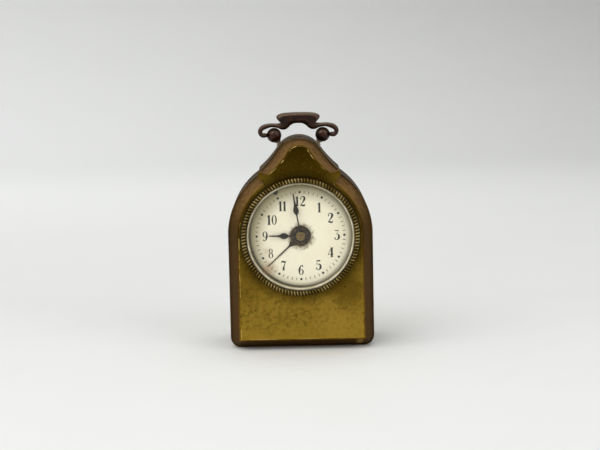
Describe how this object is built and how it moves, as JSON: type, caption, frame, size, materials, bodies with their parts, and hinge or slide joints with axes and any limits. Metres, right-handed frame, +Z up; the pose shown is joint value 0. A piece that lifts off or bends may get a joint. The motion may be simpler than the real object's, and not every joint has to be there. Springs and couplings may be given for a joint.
{
  "type": "travel alarm clock",
  "caption": "Small brass alarm clock with an arched ogee-hooded case, milled bezel, swinging bail handle on balls, key-wound movement, bell and a hinged rear door.",
  "frame": {"origin": "middle of the clock's flat underside", "axes": "+Z up; the dial faces -Y; +X is to the right as the dial is read"},
  "size_m": [0.058, 0.0436, 0.0941],
  "materials": {
    "case_brass": "aged, uneven patina",
    "case_band_brass": "dark olive patina",
    "base_brass": "dull",
    "frame_brass": "satin, aged",
    "bezel_brass": "milled, half polished",
    "ring_silver": "pale silvered, satin",
    "crystal": "polished",
    "dial_enamel": "aged cream enamel, gloss",
    "bronze_dark": "dark bronzed, half gloss",
    "hand_bronze": "dark bronzed",
    "cap_brass": "satin",
    "plate_brass": "brushed",
    "wheel_brass": "satin",
    "key_brass": "polished",
    "steel": "satin",
    "spring_steel": "blued",
    "bell_steel": "plated, satin"
  },
  "bodies": {
    "case": {"front_shell": "case_brass", "case_band": "case_band_brass", "base_plate": "base_brass", "back_frame": "frame_brass", "bezel": "bezel_brass", "sight_ring": "ring_silver", "glass": "crystal", "dial": "dial_enamel", "ball_posts": "bronze_dark", "hinge_pin": "frame_brass", "case_posts": "plate_brass", "front_plate": "plate_brass", "back_plate": "plate_brass", "plate_pillars": "plate_brass", "plate_screws": "steel", "balance_cock": "plate_brass", "cock_screws": "steel", "click_screws": "steel", "bell": "bell_steel", "bell_post": "plate_brass", "bell_nut": "plate_brass"},
    "handle": {"handle": "bronze_dark"},
    "door": {"rear_door": "frame_brass", "door_knob": "frame_brass"},
    "minute": {"centre_arbor": "steel", "cannon_pinion": "steel", "minute_hand": "hand_bronze", "centre_cap": "cap_brass", "setting_knob": "key_brass"},
    "centre_wheel": {"centre_wheel": "wheel_brass"},
    "minute_wheel": {"minute_wheel": "wheel_brass"},
    "hour": {"hour_wheel": "wheel_brass", "hour_hand": "hand_bronze"},
    "third": {"third_wheel": "wheel_brass"},
    "fourth": {"fourth_wheel": "wheel_brass"},
    "escape": {"escape_wheel": "wheel_brass"},
    "going_barrel": {"going_barrel": "wheel_brass", "going_mainspring": "spring_steel"},
    "going_winder": {"going_arbor": "steel", "going_ratchet": "steel", "going_key": "key_brass"},
    "going_click": {"going_click": "steel"},
    "alarm_barrel": {"alarm_barrel": "wheel_brass", "alarm_mainspring": "spring_steel"},
    "alarm_winder": {"alarm_arbor": "steel", "alarm_ratchet": "steel", "alarm_key": "key_brass"},
    "alarm_click": {"alarm_click": "steel"},
    "alarm_escape": {"alarm_escape_wheel": "wheel_brass"},
    "alarm_setting": {"alarm_setting_arbor": "steel", "alarm_setting_knob": "key_brass"},
    "alarm_dial_hand": {"alarm_wheel": "wheel_brass", "alarm_hand": "hand_bronze"},
    "balance": {"balance_wheel": "wheel_brass", "hairspring": "spring_steel"},
    "pallets": {"pallet_lever": "steel"},
    "regulator": {"regulator": "steel"},
    "hammer": {"hammer": "steel"},
    "stop_lever": {"stop_lever": "steel"}
  },
  "joints": [
    {"name": "handle_swing", "type": "hinge", "parent": "case", "child": "handle", "pos_m": [0, 0, 0.0849], "axis": [1, 0, 0], "range_deg": [-50, 50]},
    {"name": "door_hinge", "type": "hinge", "parent": "case", "child": "door", "pos_m": [-0.0229, 0.0191, 0.029], "axis": [0, 0, 1], "range_deg": [0, 110]},
    {"name": "minute_turn", "type": "hinge", "parent": "case", "child": "minute", "pos_m": [0, 0, 0.0458], "axis": [0, 1, 0], "continuous": true},
    {"name": "minute_wheel_turn", "type": "hinge", "parent": "case", "child": "minute_wheel", "pos_m": [0.00424, 0, 0.05004], "axis": [0, 1, 0], "continuous": true},
    {"name": "hour_turn", "type": "hinge", "parent": "case", "child": "hour", "pos_m": [0, 0, 0.0458], "axis": [0, 1, 0], "continuous": true},
    {"name": "centre_wheel_turn", "type": "hinge", "parent": "case", "child": "centre_wheel", "pos_m": [0, 0, 0.0458], "axis": [0, 1, 0], "continuous": true},
    {"name": "third_turn", "type": "hinge", "parent": "case", "child": "third", "pos_m": [0, 0, 0.0542], "axis": [0, 1, 0], "continuous": true},
    {"name": "fourth_turn", "type": "hinge", "parent": "case", "child": "fourth", "pos_m": [0.00561, 0, 0.05842], "axis": [0, 1, 0], "continuous": true},
    {"name": "escape_turn", "type": "hinge", "parent": "case", "child": "escape", "pos_m": [0.01164, 0, 0.05574], "axis": [0, 1, 0], "continuous": true},
    {"name": "going_barrel_turn", "type": "hinge", "parent": "case", "child": "going_barrel", "pos_m": [-0.00741, 0, 0.03969], "axis": [0, 1, 0], "continuous": true},
    {"name": "going_winding", "type": "hinge", "parent": "case", "child": "going_winder", "pos_m": [-0.00741, 0, 0.03969], "axis": [0, 1, 0], "continuous": true},
    {"name": "going_click_swing", "type": "hinge", "parent": "case", "child": "going_click", "pos_m": [-0.00908, 0, 0.03509], "axis": [0, 1, 0], "range_deg": [-10, 0]},
    {"name": "alarm_barrel_turn", "type": "hinge", "parent": "case", "child": "alarm_barrel", "pos_m": [0.0102, 0, 0.0372], "axis": [0, 1, 0], "continuous": true},
    {"name": "alarm_winding", "type": "hinge", "parent": "case", "child": "alarm_winder", "pos_m": [0.0102, 0, 0.0372], "axis": [0, 1, 0], "continuous": true},
    {"name": "alarm_click_swing", "type": "hinge", "parent": "case", "child": "alarm_click", "pos_m": [0.01265, 0, 0.03296], "axis": [0, 1, 0], "range_deg": [0, 10]},
    {"name": "alarm_escape_turn", "type": "hinge", "parent": "case", "child": "alarm_escape", "pos_m": [0.00202, 0, 0.03422], "axis": [0, 1, 0], "continuous": true},
    {"name": "alarm_setting_turn", "type": "hinge", "parent": "case", "child": "alarm_setting", "pos_m": [-0.00748, 0, 0.05012], "axis": [0, 1, 0], "continuous": true},
    {"name": "alarm_hand_turn", "type": "hinge", "parent": "case", "child": "alarm_dial_hand", "pos_m": [0, 0, 0.0458], "axis": [0, 1, 0], "continuous": true},
    {"name": "balance_swing", "type": "hinge", "parent": "case", "child": "balance", "pos_m": [0.00819, 0, 0.04975], "axis": [0, 1, 0], "range_deg": [-110, 110]},
    {"name": "pallet_rock", "type": "hinge", "parent": "case", "child": "pallets", "pos_m": [0.01422, 0, 0.05218], "axis": [0, 1, 0], "range_deg": [-5, 5]},
    {"name": "regulator_shift", "type": "hinge", "parent": "case", "child": "regulator", "pos_m": [0.00819, 0, 0.04975], "axis": [0, 1, 0], "range_deg": [-18, 18]},
    {"name": "hammer_strike", "type": "hinge", "parent": "case", "child": "hammer", "pos_m": [0.00202, 0, 0.03002], "axis": [0, 1, 0], "range_deg": [-4, 4]},
    {"name": "stop_shift", "type": "hinge", "parent": "case", "child": "stop_lever", "pos_m": [-0.0036, 0, 0.0298], "axis": [0, 1, 0], "range_deg": [-15, 15]}
  ],
  "couplings": [
    {"joint": "minute_wheel_turn", "follows": "minute_turn", "ratio": -0.33333},
    {"joint": "hour_turn", "follows": "minute_turn", "ratio": 0.083333},
    {"joint": "third_turn", "follows": "fourth_turn", "ratio": -0.125},
    {"joint": "centre_wheel_turn", "follows": "fourth_turn", "ratio": 0.020833},
    {"joint": "escape_turn", "follows": "fourth_turn", "ratio": -10},
    {"joint": "going_barrel_turn", "follows": "fourth_turn", "ratio": -0.0029762},
    {"joint": "alarm_escape_turn", "follows": "alarm_barrel_turn", "ratio": -6.25},
    {"joint": "alarm_hand_turn", "follows": "alarm_setting_turn", "ratio": -0.2}
  ]
}
